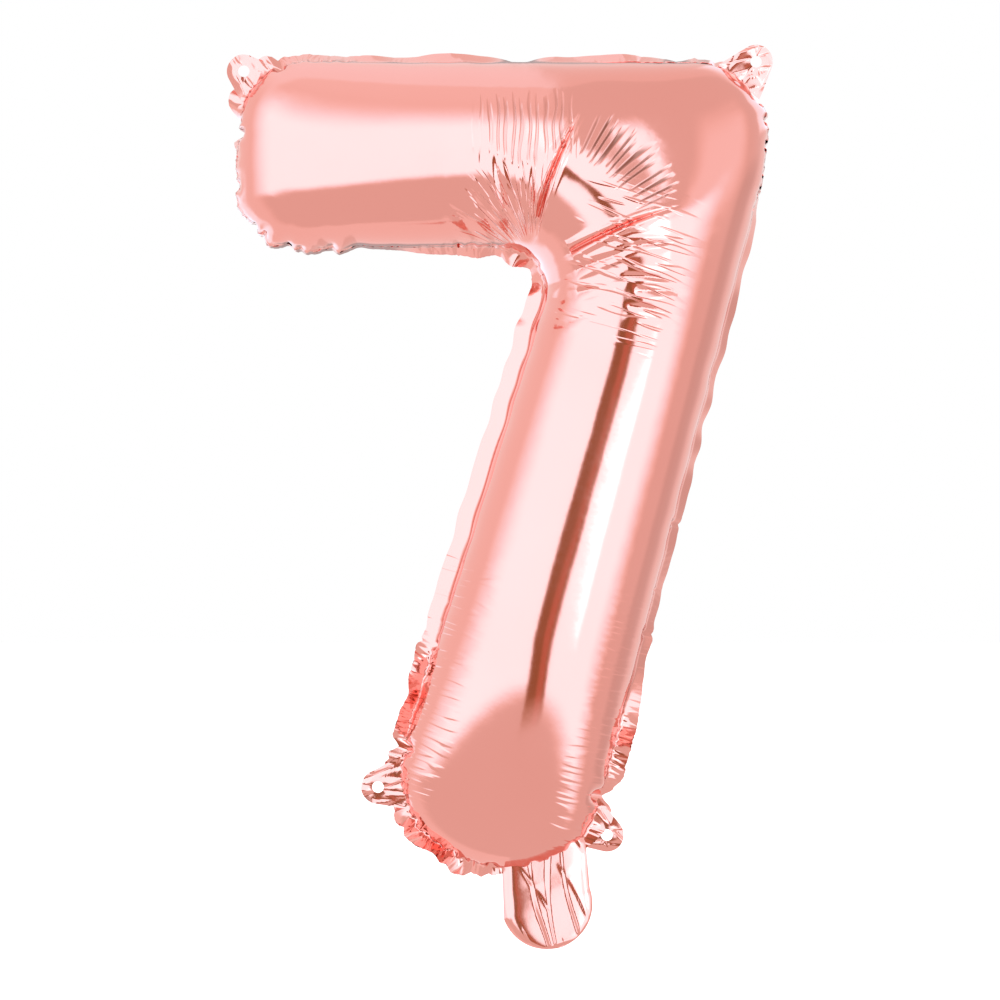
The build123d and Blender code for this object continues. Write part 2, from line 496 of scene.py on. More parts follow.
@dataclass(frozen=True)
class Crease:
    """A fold line in the inflated film, from its root to its tip in the seam plane."""

    root: Place
    tip: Place
    depth: float
    width: float
    bend: float = 0.0


def crease_line(crease: Crease, step: float, aside: float = 0.0) -> np.ndarray:
    """Places along a crease, or along a line beside it.

    Args:
        crease: the crease.
        step: spacing in metres.
        aside: distance to the left of the line, in metres.

    Returns:
        The places as (x, z) in metres.
    """
    root, tip = np.array(crease.root) * MM, np.array(crease.tip) * MM
    size = np.linalg.norm(tip - root)
    run = (tip - root) / size
    t = np.linspace(0, 1, max(3, int(size / step)))
    left = np.array([-run[1], run[0]])
    return root + np.outer(t, tip - root) + np.outer(4 * crease.bend * MM * t * (1 - t) + aside, left)


# Large gathers: x and z of the root on the seam, then depth, reach and width, in millimetres.
GATHERS = (
    (-107, -29, 2.6, 15, 1.6), (-97, -66, 3.4, 21, 2.2), (-72, -76, 2.4, 15, 1.8), (-94, 1, 2.6, 12, 1.6),
    (-113, -50, 1.6, 10, 2.0), (-84, -73, 1.8, 9, 1.5), (91, 1, 1.8, 9, 1.4), (111, -14, 2.2, 9, 1.5),
    (114, -24, 1.6, 8, 1.4), (114, -34, 1.4, 8, 1.4), (-42, -290, 4.6, 19, 2.4), (42, -311, 5.0, 22, 2.6),
    (-47, -297, 2.0, 10, 1.6), (-31, -246, 2.0, 9, 1.5), (-39, -322, 2.2, 12, 1.8),
    (-22, -336, 2.6, 13, 1.9), (-4, -343, 2.4, 13, 1.7), (14, -341, 2.4, 12, 1.7), (29, -331, 2.4, 12, 1.8),
    (57, -240, 1.6, 10, 1.5), (75, -196, 1.4, 9, 1.4),
)

# Runs of small gathers: from, to, how many, and their depth in millimetres.
GATHER_RUNS = (
    ((-92, 1), (-60, 1), 8, 0.8), ((113, -8), (113, -58), 13, 0.8), ((44, -300), (-8, -345), 17, 0.9),
    ((-8, -345), (-42, -290), 17, 0.9), ((-40, -285), (-28, -235), 15, 0.6),
    ((20, -95), (-20, -77), 18, 0.9), ((-20, -77), (-70, -77), 10, 0.5), ((-75, -77), (-111, -45), 13, 0.9),
    ((-111, -45), (-108, -10), 8, 0.7), ((-108, -10), (-92, 1), 6, 0.9), ((60, 1), (113, -8), 11, 0.7),
    ((52, -270), (44, -300), 10, 0.8), ((18, -102), (-5, -175), 13, 0.5),
)

# The two main creases of the inner corner, then the small ones beside them, in millimetres.
MAIN_CREASES = (
    Crease((12.8, -78.4), (35.0, -21.0), 2.3, 0.62, 2.4), Crease((19.2, -87), (75.5, -62.5), 2.3, 0.62, 1.8),
)
CREASES = MAIN_CREASES + (
    Crease((6, -77), (-2, -40), 1.5, 0.8, 1.0), Crease((19, -95), (60, -80), 1.2, 0.8, 1.2),
    Crease((1, -77), (-14, -52), 1.2, 0.8, 1.0), Crease((-6, -77), (-26, -56), 0.9, 0.8, 1.0),
    Crease((11, -78), (14, -44), 1.1, 0.7, -0.8), Crease((48, -81), (74, -78), 0.8, 0.7, 0.6),
    Crease((50, -92), (73, -94), 0.7, 0.7, 0.6), Crease((56, -98), (80, -99), 0.8, 0.9, 0.4),
    Crease((20, -102), (48, -96), 0.9, 0.8, 0.8), Crease((52, -104), (72, -108), 0.5, 0.9, 0.3),
    Crease((23, -112), (40, -108), 0.5, 0.8, 0.4),
)

# Where the seam bows out or draws in: x and z on the seam, how far, and the width, in millimetres.
BOWS = (
    (-106, -57, 2.6, 7), (-96, -71, 2.6, 5), (-83, -77, 2.6, 7), (-68, -77, 1.6, 7), (-115, -40, 1.2, 8),
    (-101, -66, -2.2, 2.4), (-90, -75, -2.0, 2.4), (-75, -77, -1.8, 2.4), (-60, -77, -0.8, 3),
    (-110, -28, -1.2, 3), (-102, -4, 0.8, 8), (-76, 2, 1.2, 9), (-94, 1, -1.4, 3), (111, -12, -1.8, 3),
    (115, -19, 1.2, 5), (115, -29, 1.0, 5), (114, -24, -0.8, 2), (-42, -290, -3.0, 5), (42, -311, -3.2, 5),
    (33, -329, 1.2, 7), (-36, -325, 1.0, 6), (-12, -342, 0.8, 8),
)

# How the flange leans round the seam: x and z in millimetres, then degrees to the back.
FLANGE_LEANS = (
    (-60, 1, 62), (-45, 1, 66), (-22, 1, 50), (-5, 1, 62), (8, 1, 84), (24, 1, 64), (45, 1, 55), (66, 1, 66),
    (85, 1, 84), (98, 0, 40), (106, -3, 30), (113, -12, 96), (114, -24, 104), (113, -45, 100),
    (109, -65, 68), (98, -103, 62), (88, -145, 66), (78, -185, 58), (68, -222, 62), (58, -262, 50),
    (50, -290, -28), (45, -306, 34), (38, -323, 4), (24, -337, 0), (8, -344, 0), (-3, -344, 8),
    (-11, -343, 46), (-20, -340, -38), (-30, -333, -34), (-39, -322, -30), (-45, -310, 30), (-46, -300, 26),
    (-40, -285, -46), (-33, -262, -34), (-27, -243, 30), (-20, -225, 22), (0, -160, 17), (14, -115, 19),
    (18, -95, 30), (12, -80, 40), (0, -77, 52), (-20, -77, 62), (-45, -77, 80), (-65, -77, 98),
    (-80, -77, 108), (-95, -72, 112), (-106, -62, 110), (-111, -45, 102), (-111, -30, 88), (-110, -18, 46),
    (-106, -8, 30), (-98, -1, 36), (-86, 1, 58), (-75, 1, 66),
)

# Where the seam turns and its flange is gathered: x and z on the seam, and the width, in millimetres.
GATHERED_STRETCHES = ((-111, -35, 62), (113, -15, 38), (0, -345, 85), (18, -82, 30), (-37, -275, 30))


@dataclass
class Envelope:
    """The inflated seven: front foil, back foil and the seal between their flanges. Sizes in millimetres."""

    flange: float = 7.5
    flange_rows: tuple[float, ...] = (1.0, 0.72, 0.46, 0.22)
    side_rows: int = 12
    bar_end_radii: tuple[float, float] = (28, 26)
    crown_radius: float = 30
    crown_drop: float = 43.5
    shoulder_radius: float = 40
    foot_right: Place = (32.8, -351.7)
    foot_left: Place = (-52.6, -327.6)
    foot_radius: float = 40
    inner_corner: Place = (25.5, -77.0)
    inner_radius: float = 18
    tube_radius: float = 39
    spacing: float = 2.7
    pitch: float = 2.9
    elbow_pitch: float = 1.45
    elbow: tuple[float, float, float] = (28.0, -68.0, 54.0)
    crease_rows: tuple[float, ...] = (-1.7, -0.95, -0.4, 0.0, 0.4, 0.95, 1.7)
    roundness: float = 0.95
    bar_end_depth: float = 0.84
    bar_low_lean: float = 0.18
    bar_middle: float = -37.5
    foot_taper: float = 0.34
    film_gap: float = 0.12
    neck_gap: float = 0.95
    neck_trim: float = 0.82
    gusset_drop: float = 4.2
    gusset_turn: float = 44
    gusset_reach: float = 62
    seal_band: tuple[float, float] = (0.4, 5.6)
    outline: Outline = field(init=False)
    steps: list[tuple[int, int]] = field(init=False)
    seam: np.ndarray = field(init=False)
    seam_at: np.ndarray = field(init=False)
    seam_out: np.ndarray = field(init=False)
    length: float = field(init=False)

    def __post_init__(self) -> None:
        """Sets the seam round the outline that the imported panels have."""
        low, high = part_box("front_panel")
        edge = self.flange * MM
        left, right, top = low[0] + edge, high[0] - edge, high[2] - edge
        inner_x, inner_z = (v * MM for v in self.inner_corner)
        self.outline = Outline([
            Corner(left, top, self.bar_end_radii[0] * MM),
            Corner(right, top, self.crown_radius * MM),
            Corner(right, top - self.crown_drop * MM, self.shoulder_radius * MM),
            Corner(self.foot_right[0] * MM, self.foot_right[1] * MM, self.foot_radius * MM),
            Corner(self.foot_left[0] * MM, self.foot_left[1] * MM, self.foot_radius * MM),
            Corner(inner_x, inner_z, self.inner_radius * MM, inner=True),
            Corner(left, inner_z, self.bar_end_radii[1] * MM),
        ])
        self.steps = self.outline.plan(self.spacing * MM)
        self.seam = self.outline.points(self.steps)
        sides = np.linalg.norm(np.roll(self.seam, -1, axis=0) - self.seam, axis=1)
        self.seam_at = np.concatenate([[0], np.cumsum(sides)[:-1]])
        self.length = float(sides.sum())
        ahead = np.roll(self.seam, -1, axis=0) - np.roll(self.seam, 1, axis=0)
        ahead /= np.linalg.norm(ahead, axis=1)[:, None]
        self.seam_out = np.stack([-ahead[:, 1], ahead[:, 0]], 1)

    def where(self, x: float, z: float) -> float:
        """Place along the seam nearest to a point given in millimetres."""
        gap = np.linalg.norm(self.seam - np.array([x, z]) * MM, axis=1)
        return float(self.seam_at[int(gap.argmin())])

    def from_place(self, along: np.ndarray, x: float, z: float) -> np.ndarray:
        """Signed distance along the seam from the place nearest to (x, z) in millimetres."""
        return self.from_at(along, self.where(x, z))

    def from_at(self, along: np.ndarray, at: float) -> np.ndarray:
        """Signed distance along the seam from one place on it."""
        return (along - at + self.length / 2) % self.length - self.length / 2

    def near_place(self, along: np.ndarray, place: Place, width: float, power: int = 4) -> np.ndarray:
        """1 at a place on the seam and 0 beyond a width, both in millimetres; a high power has a flat top."""
        return np.exp(-(self.from_place(along, *place) / (width * MM)) ** power)

    def outward(self, along: np.ndarray) -> np.ndarray:
        """Outward direction in the seam plane.

        Args:
            along: places along the seam.

        Returns:
            (n, 2) directions of length 1.
        """
        at = np.append(self.seam_at, self.length)
        out = np.vstack([self.seam_out, self.seam_out[:1]])
        found = np.stack([np.interp(along, at, out[:, k]) for k in (0, 1)], 1)
        return found / np.linalg.norm(found, axis=1)[:, None]

    def rings(self) -> tuple[list[np.ndarray], list[float]]:
        """Loops beside the seam, from the flange's edge to the steep part of the blown-up side.

        Returns:
            The loops, and the distance of each from the seam along the film.
        """
        radius = self.tube_radius * MM
        turns = np.arange(1, self.side_rows + 1) * self.spacing * MM / radius
        out = [self.flange * MM * share for share in self.flange_rows]
        offsets = out + [0.0] + [-radius * (1 - math.cos(turn)) for turn in turns]
        reaches = [-value for value in out] + [0.0] + [radius * turn for turn in turns]
        return [self.outline.grown(by).points(self.steps) for by in offsets], reaches

    def grid(self, loop: np.ndarray) -> np.ndarray:
        """Places inside the innermost loop, closer together round the elbow and along the main creases.

        Args:
            loop: (n, 2) corners of the loop.

        Returns:
            The places as (x, z).
        """
        fine = self.lattice(loop, self.elbow_pitch * MM, fine=True)
        rows = []
        for crease in MAIN_CREASES:
            line = crease_line(crease, 0.8 * MM)
            fine = fine[np.array([np.linalg.norm(line - p, axis=1).min() for p in fine]) > 2.3 * MM]
            rows += [crease_line(crease, 0.9 * MM, aside * MM) for aside in self.crease_rows]
        rows = [row[inside(loop, row)] for row in rows]
        rows = [row[distance(loop, row) > 0.8 * MM] for row in rows]
        return np.vstack([self.lattice(loop, self.pitch * MM, fine=False), fine] + rows)

    def half_film(self) -> Film:
        """One side of the envelope with its flange: smooth, blown up towards +Y.

        Returns:
            The film after one subdivision.
        """
        radius = self.tube_radius * MM
        rings, reaches = self.rings()
        count = len(self.seam)
        quads = strips(len(rings), count, closed=True)
        grid = self.grid(rings[-1])
        first = (len(rings) - 1) * count
        triangles = filled(rings[-1], grid) + first
        places = np.vstack(rings + [grid])
        flat_rows = len(self.flange_rows)
        free = quads[flat_rows * count:]
        halves = [(a, b, c) for a, b, c, _ in free] + [(a, c, d) for a, _, c, d in free]
        held = np.zeros(len(places), bool)
        held[:(flat_rows + 1) * count] = True
        height = inflated_height(places, np.vstack([np.array(halves), triangles]), held)
        gap = distance(self.seam, grid)
        reach = np.concatenate([np.repeat(reaches, count),
                                radius * np.arccos(1 - np.clip(gap / radius, 0, 1))])
        nearest = np.array([self.seam_at[int(np.linalg.norm(self.seam - p, axis=1).argmin())] for p in grid])
        along = np.concatenate([np.tile(self.seam_at, len(rings)), nearest])
        points = np.stack([places[:, 0], height * self.roundness, places[:, 1]], 1)
        faces = quads + [tuple(int(v) for v in t[::-1]) for t in triangles]
        film = subdivided(Film(points, faces, along, reach))
        smoothed(film, 24, 7 * MM, 13 * MM)
        self.flatten(film)
        return film

    def flatten(self, film: Film) -> None:
        """Makes the bar's free end, its lower side and the foot flatter than an even tube.

        Args:
            film: the smooth half, changed in place.
        """
        x, z = film.points[:, 0], film.points[:, 2]
        share = smoothstep(-105 * MM, 22 * MM, x)
        film.points[:, 1] *= self.bar_end_depth + (1 - self.bar_end_depth) * share
        low = -self.bar_low_lean * (1 - share) * (z - self.bar_middle * MM) / (self.tube_radius * MM)
        film.points[:, 1] *= 1 + np.where(x < 10 * MM, low, 0) * smoothstep(-90 * MM, -80 * MM, z)
        up_stem = z * STEM_RUN[1] + x * STEM_RUN[0] + 328 * MM
        film.points[:, 1] *= 1 - self.foot_taper * (1 - smoothstep(5 * MM, 100 * MM, up_stem))

    def lattice(self, loop: np.ndarray, pitch: float, fine: bool) -> np.ndarray:
        """Evenly spaced places inside a loop, either round the elbow or everywhere else.

        Args:
            loop: (n, 2) corners of the loop.
            pitch: spacing in metres.
            fine: True for the part round the elbow, False for the rest.

        Returns:
            The places as (x, z).
        """
        low, high = loop.min(0), loop.max(0)
        rows = []
        for k, z in enumerate(np.arange(low[1], high[1], pitch * 0.866)):
            x = np.arange(low[0] + (k % 2) * pitch / 2, high[0], pitch)
            rows.append(np.stack([x, np.full(len(x), z)], 1))
        places = np.concatenate(rows)
        x, z, radius = (v * MM for v in self.elbow)
        near = np.linalg.norm(places - np.array([x, z]), axis=1) < radius - (0.5 * pitch if fine else 0)
        places = places[near == fine]
        places = places[inside(loop, places)]
        return places[distance(loop, places) > (0.9 if fine else 0.6) * pitch]

    def puckers(self, side: Side) -> list[Pucker]:
        """The gathers of one panel: large ones where the form turns, and small ones along each curved seam.

        Args:
            side: the panel's side.

        Returns:
            The gathers in metres.
        """
        rng = np.random.default_rng(11 if side is Side.FRONT else 12)
        found = [Pucker(self.where(x, z), d * MM, r * MM, w * MM) for x, z, d, r, w in GATHERS]
        for start, end, count, strength in GATHER_RUNS:
            a, b = self.where(*start), self.where(*end)
            span = (b - a) % self.length
            for k in range(count):
                at = (a + span * (k + rng.uniform(0.1, 0.9)) / count) % self.length
                size = strength * rng.uniform(0.45, 1.25)
                reach = 5 + 7 * size * rng.uniform(0.6, 1.3)
                found.append(Pucker(at, size * MM, reach * MM, rng.uniform(0.9, 1.5) * MM))
        return found

    def lobes(self, along: np.ndarray) -> np.ndarray:
        """How far the seam bows out from its outline.

        Args:
            along: places along the seam.

        Returns:
            Distances in metres, negative where it draws in.
        """
        moved = np.zeros(len(along))
        for x, z, size, width in BOWS:
            moved += size * MM * self.near_place(along, (x, z), width, 2)
        return moved + 0.35 * MM * wander(along, 5, 14 * MM, self.length)

    def flange_lean(self, along: np.ndarray) -> np.ndarray:
        """How far the flange waves to the back.

        Args:
            along: places along the seam.

        Returns:
            Distances at the outer edge in metres.
        """
        lean = 1.5 * MM * wander(along, 21, 34 * MM, self.length)
        lean += 0.5 * MM * wander(along, 22, 9 * MM, self.length) * self.gathered(along)
        return lean * (1 - self.near_place(along, NECK_ROOT, 32))

    def flange_turn(self, along: np.ndarray) -> np.ndarray:
        """Angle by which the flange is folded over.

        Args:
            along: places along the seam.

        Returns:
            Angles in radians: 0 in the seam plane, positive to the back, never past square to it.
        """
        at = np.array([self.where(x, z) for x, z, _ in FLANGE_LEANS])
        turn = np.radians([t for _, _, t in FLANGE_LEANS])
        order = np.argsort(at)
        found = np.interp(along, at[order], turn[order], period=self.length)
        loose = self.gathered(along) * (1 - self.near_place(along, NECK_FOLD, 25))
        found += np.radians(20) * wander(along, 23, 14 * MM, self.length) * loose
        return np.clip(found, -math.radians(55), math.radians(84))

    def gathered(self, along: np.ndarray) -> np.ndarray:
        """How much the flange is gathered.

        Args:
            along: places along the seam.

        Returns:
            1 where the seam turns, and little on the straight runs.
        """
        strong = np.full(len(along), 0.16)
        for x, z, width in GATHERED_STRETCHES:
            strong = np.maximum(strong, self.near_place(along, (x, z), width))
        return strong

    def gather_depth(self, half: Film, side: Side) -> np.ndarray:
        """How deep the gathers draw the film in.

        Args:
            half: the smooth half.
            side: the panel's side.

        Returns:
            Depths in metres, with a low ridge each side of a gather.
        """
        inward = np.clip(half.reach, 0, None)
        depth = np.zeros(len(half.points))
        for pucker in self.puckers(side):
            off = self.from_at(half.along, pucker.at)
            width = pucker.width * (0.7 + 0.9 * inward / pucker.reach)
            fade = np.clip(1 - inward / pucker.reach, 0, 1) ** 1.4
            groove = np.exp(-(off / width) ** 2) - 0.3 * np.exp(-((np.abs(off) - 2.1 * width) / width) ** 2)
            depth += pucker.depth * fade * groove * np.where(half.reach < 0, 0.5, 1)
        return depth

    def dressed(self, half: Film, side: Side) -> Film:
        """One panel with its seam bowed, its gathers, its creases and its folded flange.

        Args:
            half: the smooth half from half_film().
            side: the panel's side.

        Returns:
            The finished panel as a film.
        """
        radius = self.tube_radius * MM
        reach, along = half.reach, half.along
        out = self.outward(along)
        angle = np.clip(reach, 0, radius * 1.5) / radius
        near = np.exp(-np.clip(reach, 0, None) / (9 * MM))
        points = half.points.copy()
        push = self.lobes(along) * near
        sink = self.gather_depth(half, side)
        points[:, 0] += out[:, 0] * (push - sink * np.cos(angle))
        points[:, 2] += out[:, 1] * (push - sink * np.cos(angle))
        height = self.folded(points, points[:, 1] - sink * np.sin(angle), side)
        flap = np.clip(-reach, 0, None)
        turn = self.flange_turn(along)
        kept = flap * (1 - self.neck_trim * self.near_place(along, NECK_FOLD, 22))
        points[:, 0] -= out[:, 0] * (flap - kept * np.cos(turn))
        points[:, 2] -= out[:, 1] * (flap - kept * np.cos(turn))
        wave = 0.3 * near + 0.4 * (flap / (self.flange * MM)) ** 1.3
        sway = self.flange_lean(along) * wave + kept * np.sin(turn)
        gap = self.film_gap * MM + self.neck_gap * MM * self.near_place(along, NECK_ROOT, 27)
        points[:, 1] = side.value * (height + gap * np.where(reach <= 0, 1, near)) + sway
        faces = half.faces
        a, b, c = (points[[f[k] for f in faces]] for k in range(3))
        facing = np.cross(b - a, c - a)[:, 1].sum() * side.value
        faces = faces if facing > 0 else [f[::-1] for f in faces]
        return Film(points, faces, along, reach, self.gathered(along))

    def folded(self, points: np.ndarray, height: np.ndarray, side: Side) -> np.ndarray:
        """Height with the folds and the flattened gusset of the inner corner.

        Args:
            points: the film's points.
            height: their distance from the seam plane.
            side: the panel's side, because the small creases differ on the back.

        Returns:
            The new distances.
        """
        flat = points[:, [0, 2]]
        height = height.copy()
        for number, crease in enumerate(CREASES):
            root, tip = np.array(crease.root) * MM, np.array(crease.tip) * MM
            if side is Side.BACK and crease not in MAIN_CREASES:
                tip = tip + np.array([4.0, -3.0]) * MM * ((number % 3) - 1)
            run = tip - root
            size = np.linalg.norm(run)
            run /= size
            t = (flat - root) @ run / size
            off = (flat - root) @ np.array([-run[1], run[0]]) - 4 * crease.bend * MM * t * (1 - t)
            along = smoothstep(-0.02, 0.15, t) * (1 - smoothstep(0.55, 1.02, t))
            width = crease.width * MM * (1.35 - 0.7 * np.clip(t, 0, 1))
            ridge = np.exp(-((np.abs(off) - 3.4 * width) / (2.0 * width)) ** 2)
            height -= crease.depth * MM * along * (np.exp(-np.abs(off) / width) - 0.4 * ridge)
        away = flat - np.array(INNER_FOLD_MEET) * MM
        r = np.linalg.norm(away, axis=1)
        turn = np.degrees(np.arctan2(away[:, 0], away[:, 1]))
        between = np.exp(-((turn - self.gusset_turn) / 23) ** 4)
        reach = self.gusset_reach * MM
        spread = np.where(r < reach, 18 * MM, 40 * MM)
        return height - self.gusset_drop * MM * between * np.exp(-((r - reach) / spread) ** 2)

    def seal(self, front: Film) -> Film:
        """The sealed band, which lies just behind the front panel's flange.

        Args:
            front: the finished front panel.

        Returns:
            The band as a film.
        """
        inner, outer = (v * MM for v in self.seal_band)
        points = front.points.copy()
        points[:, 1] += self.film_gap * MM
        shown = [f for f in front.faces if all(-outer < front.reach[v] < -inner for v in f)]
        used = sorted({v for f in shown for v in f})
        index = {v: k for k, v in enumerate(used)}
        faces = [tuple(index[v] for v in f) for f in shown]
        return Film(points[used], faces, front.along[used], front.reach[used])

    def build(self) -> dict[str, bpy.types.Object]:
        """Makes the front foil, the back foil and the seal band.

        Returns:
            The three pieces by name.
        """
        half = self.half_film()
        front = self.dressed(half, Side.FRONT)
        back = self.dressed(half, Side.BACK)
        films = {"front_foil": front, "back_foil": back, "edge_seal": self.seal(front)}
        return {name: film.make(name) for name, film in films.items()}


def crumple(a: np.ndarray, b: np.ndarray, seed: int, size: float, folds: int, lean: float = 0.0,
            skew: float = 0.78) -> np.ndarray:
    """Height of crumpled film: flat facets that meet in fold lines, 0 to about 1.

    Args:
        a: places across the film, in metres.
        b: places along the film, in metres.
        seed: picks the folds.
        size: width of the facets, in metres.
        folds: how many families of folds cross.
        lean: direction the facets climb in, in radians from a to b.
        skew: share of each fold's width that climbs; the rest falls back steeply.

    Returns:
        One value for each place.
    """
    rng = np.random.default_rng(seed)
    total = np.zeros_like(a)
    for _ in range(folds):
        way = lean + rng.uniform(-0.75, 0.75)
        pitch = size * rng.uniform(1.0, 2.0)
        bend = 0.10 * np.sin((a * math.sin(way) - b * math.cos(way)) / pitch * 1.3 + rng.uniform(0, 6))
        t = ((a * math.cos(way) + b * math.sin(way)) / pitch + bend + rng.uniform()) % 1
        total = np.maximum(total, np.minimum(t / skew, (1 - t) / (1 - skew)) * pitch / size / 2)
    return total


@dataclass(frozen=True)
class Fold:
    """Where a flap of film is hinged: a point on the fold, its direction and the way out of the envelope."""

    origin: np.ndarray
    across: np.ndarray
    out: np.ndarray

    @classmethod
    def of(cls, record: dict, joint: str, beyond: Place) -> "Fold":
        """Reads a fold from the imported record.

        Args:
            record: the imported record.
            joint: the joint's name.
            beyond: a point (x, z) on the outer side of the fold.

        Returns:
            The fold in the seam plane.
        """
        found = next(j for j in record["behaviour"]["joints"] if j["name"] == joint)
        origin = np.array([found["pos_m"][0], found["pos_m"][2]])
        across = np.array([found["axis"][0], found["axis"][2]])
        across /= np.linalg.norm(across)
        out = np.array([-across[1], across[0]])
        if (np.array(beyond) - origin) @ out < 0:
            out = -out
        return cls(origin, across, out)

    def place(self, a: np.ndarray, b: np.ndarray, y: np.ndarray) -> np.ndarray:
        """Points at a along the fold, b out from it and y from the seam plane."""
        flat = self.origin + a[:, None] * self.across + b[:, None] * self.out
        return np.stack([flat[:, 0], y, flat[:, 1]], 1)

    def spot(self, b: float) -> tuple[float, float, float]:
        """A point b metres out from the middle of the fold."""
        x, z = self.origin + b * self.out
        return (float(x), 0.0, float(z))


@dataclass
class HangingTab:
    """One punched tab: two foils with the seal between them. Sizes in millimetres."""

    name: str
    seed: int
    end_radius: float = 7.2
    hole_radius: float = 2.5
    base_half_width: float = 11.5
    base_depth: float = 6.0
    crumple_height: float = 2.0
    crumple_size: float = 5.0
    layer: float = 0.1
    spokes: int = 96
    rings: int = 11

    def rim(self, turn: np.ndarray, eyelet: float) -> np.ndarray:
        """Distance from the eyelet's middle to the tab's edge.

        Args:
            turn: directions in radians, 0 away from the balloon.
            eyelet: distance from the fold to the eyelet's middle.

        Returns:
            One distance in metres for each direction.
        """
        end, side, depth = self.end_radius * MM, self.base_half_width * MM, eyelet + self.base_depth * MM
        tangent = math.acos(end / math.hypot(side, depth)) - math.atan2(depth, side)
        rim = np.full(len(turn), end)
        for k, angle in enumerate(turn):
            rise = math.atan2(math.cos(angle), abs(math.sin(angle)))
            if rise < tangent:
                flank = end / max(math.cos(rise - tangent), 1e-6)
                rim[k] = min(flank, depth / -math.sin(rise)) if rise < 0 else flank
        return rim

    def film(self, fold: Fold, eyelet: float, offset: float) -> Film:
        """One layer of the tab.

        Args:
            fold: the tab's fold.
            eyelet: distance from the fold to the eyelet's middle.
            offset: the layer's distance from the middle layer.

        Returns:
            The layer, punched.
        """
        turn = np.arange(self.spokes) * 2 * math.pi / self.spokes
        rim, hole = self.rim(turn, eyelet), self.hole_radius * MM
        shares = np.linspace(0, 1, self.rings) ** 0.9
        radii = np.concatenate([hole + (rim - hole) * share for share in shares])
        around = np.tile(turn, self.rings)
        a, b = radii * np.sin(around), eyelet + radii * np.cos(around)
        flat_rim = 0.35 + 0.65 * smoothstep(2.5 * MM, 5.5 * MM, radii)
        rough = crumple(a, b, self.seed, self.crumple_size * MM, 3, math.pi, 0.8) - 0.5
        y = flat_rim * rough * self.crumple_height * MM + offset
        y += 0.8 * MM * np.sin(a / (5.2 * MM) + self.seed) * smoothstep(-4 * MM, 9 * MM, b)
        return Film(fold.place(a, b, y), strips(self.rings, self.spokes, closed=True), a * 0, b)

    def build(self, record: dict) -> list[bpy.types.Object]:
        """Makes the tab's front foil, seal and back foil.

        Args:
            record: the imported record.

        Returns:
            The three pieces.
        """
        mount = next(m for m in record["mounts"] if m["name"] == f"eyelet_{self.name}")
        middle = np.array([mount["pos_m"][0], mount["pos_m"][2]])
        fold = Fold.of(record, f"tab_fold_{self.name}", tuple(middle))
        eyelet = float(np.linalg.norm(middle - fold.origin))
        pieces = []
        layers = {"front_film": -self.layer, "weld": 0.0, "back_film": self.layer}
        for part, offset in layers.items():
            piece = self.film(fold, eyelet, offset * MM).make(f"tab_{self.name}_{part}")
            fold.spot(-2.5 * MM)
            fold.spot(1.2 * MM)
            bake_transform(piece)
            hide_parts(f"hang_tab_{self.name}_{part}")
            pieces.append(piece)
        return pieces


@dataclass
class FillingNeck:
    """The flat filling neck: a front and a back film that open only a little. Sizes in millimetres."""

    half_width: float = 19.0
    end_middle: Place = (-4.3, 14.7)
    end_radius: float = 19.5
    inside_seam: float = 8.0
    mouth: float = 0.55
    crumple_height: float = 2.4
    crumple_size: float = 13.0
    rows: int = 72
    columns: int = 72

    def film(self, fold: Fold, side: Side) -> Film:
        """One film of the neck.

        Args:
            fold: the neck's fold.
            side: the film's side.

        Returns:
            The film.
        """
        middle, round_from = self.end_middle
        tip = round_from + self.end_radius
        share = np.linspace(0, 1, self.rows)
        across = np.linspace(-1, 1, self.columns)
        b = -self.inside_seam + (tip + self.inside_seam) * np.sin(share * math.pi / 2)
        half = np.where(b < round_from, self.half_width + 0.5 * np.clip(b / round_from, 0, 1),
                        np.sqrt(np.clip(self.end_radius ** 2 - (b - round_from) ** 2, 0.02, None)))
        shift = middle * np.clip(b / round_from, -0.3, 1)
        a = (shift[:, None] + half[:, None] * across).ravel() * MM
        rows = np.repeat(b, self.columns) * MM
        seed, lean = (31, math.pi - 0.45) if side is Side.FRONT else (32, 0.45)
        rough = crumple(a, rows, seed, self.crumple_size * MM, 3, lean, 0.82)
        cross = np.sin(rows / (6.5 * MM) + a / (15 * MM)) * smoothstep(2 * MM, 10 * MM, rows)
        edge = 1 - np.abs(np.tile(across, self.rows)) ** 8
        edge *= 1 - smoothstep((tip - 2.5) * MM, tip * MM, rows) * 0.4
        puffed = 1.0 + self.crumple_height * rough + 0.3 * cross
        points = fold.place(a, rows, side.value * (self.mouth + edge * puffed) * MM)
        faces = strips(self.rows, self.columns, closed=False)
        corner, after, above = (points[k] for k in faces[0][:3])
        if np.cross(after - corner, above - corner)[1] * side.value < 0:
            faces = [f[::-1] for f in faces]
        return Film(points, faces, a * 0, rows)

    def build(self, record: dict) -> list[bpy.types.Object]:
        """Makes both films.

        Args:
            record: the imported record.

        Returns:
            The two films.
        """
        fold = Fold.of(record, "neck_fold", (0.0, -1.0))
        pieces = []
        for part, side in (("front_film", Side.FRONT), ("back_film", Side.BACK)):
            piece = self.film(fold, side).make(f"filling_neck_{part}")
            fold.spot(-2.5 * MM)
            fold.spot(2.5 * MM)
            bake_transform(piece)
            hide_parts(f"neck_{part}")
            pieces.append(piece)
        return pieces


# ---------------------------------------------------------------- finishes


